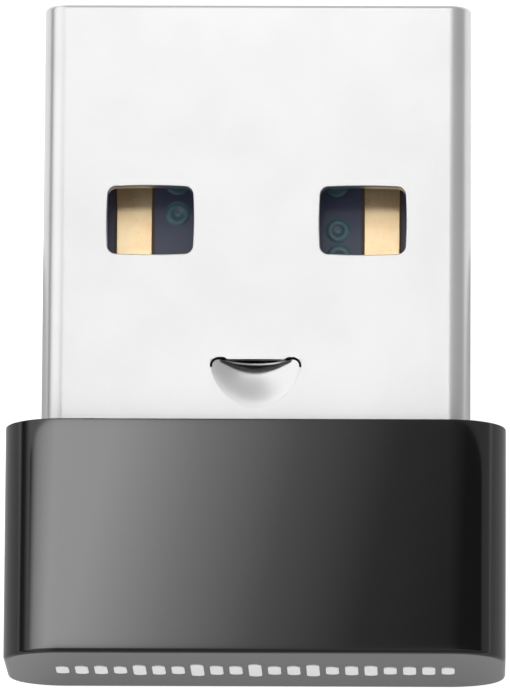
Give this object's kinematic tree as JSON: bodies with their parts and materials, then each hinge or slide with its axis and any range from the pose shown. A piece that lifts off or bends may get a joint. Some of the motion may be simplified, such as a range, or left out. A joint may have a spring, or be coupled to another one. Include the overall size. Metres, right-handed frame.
{
  "type": "usb wireless adapter",
  "caption": "Nano USB radio adapter: a Type-A metal plug with a windowed shell and a short glossy black cap behind it.",
  "frame": {"origin": "on the plug's axis, in the plane of the cap's mouth, which stops against a socket's face", "axes": "+Y along the plug towards its tip, +Z through the thickness towards the side that the contacts face, +X across the width"},
  "size_m": [0.014, 0.0186, 0.006],
  "materials": {
    "cap_gloss_black": "polished black moulding",
    "plated_steel": "nickel plated, satin sheen, folded sheet",
    "insert_black": "fine matt moulding",
    "laminate": "bare glass-epoxy laminate",
    "solder_mask_dark": "blue-black mask with a slight sheen",
    "gold_plate": "gold over copper, satin",
    "via_copper": "copper under a thin coat of mask",
    "antenna_copper": "etched copper",
    "solder": "bright solder",
    "chip_epoxy": "moulded epoxy",
    "tinned_leads": "matt tin",
    "crystal_ceramic": "fired ceramic",
    "crystal_metal": "plain metal lid",
    "capacitor_ceramic": "fired ceramic",
    "resistor_black": "coated ceramic",
    "inductor_white": "pale ceramic",
    "ferrite_grey": "fired ferrite",
    "print_white": "thin white ink"
  },
  "bodies": {
    "root": {"housing_cap": "cap_gloss_black", "plug_shell": "plated_steel", "rear_spacer": "insert_black", "board_carrier": "insert_black", "circuit_board": "laminate", "solder_mask": "solder_mask_dark", "plated_vias": "via_copper", "antenna_trace": "antenna_copper", "shell_solder_joints": "solder", "contact_power": "gold_plate", "contact_data_minus": "gold_plate", "contact_data_plus": "gold_plate", "contact_ground": "gold_plate", "radio_chip": "chip_epoxy", "radio_chip_leads": "tinned_leads", "crystal_base": "crystal_ceramic", "crystal_lid": "crystal_metal", "voltage_regulator": "chip_epoxy", "regulator_leads": "tinned_leads", "esd_protector": "chip_epoxy", "capacitor_bodies": "capacitor_ceramic", "capacitor_terminals": "tinned_leads", "resistor_bodies": "resistor_black", "resistor_terminals": "tinned_leads", "inductor_bodies": "inductor_white", "inductor_terminals": "tinned_leads", "ferrite_bead": "ferrite_grey", "bead_terminals": "tinned_leads", "printed_mark": "print_white"}
  },
  "joints": []
}
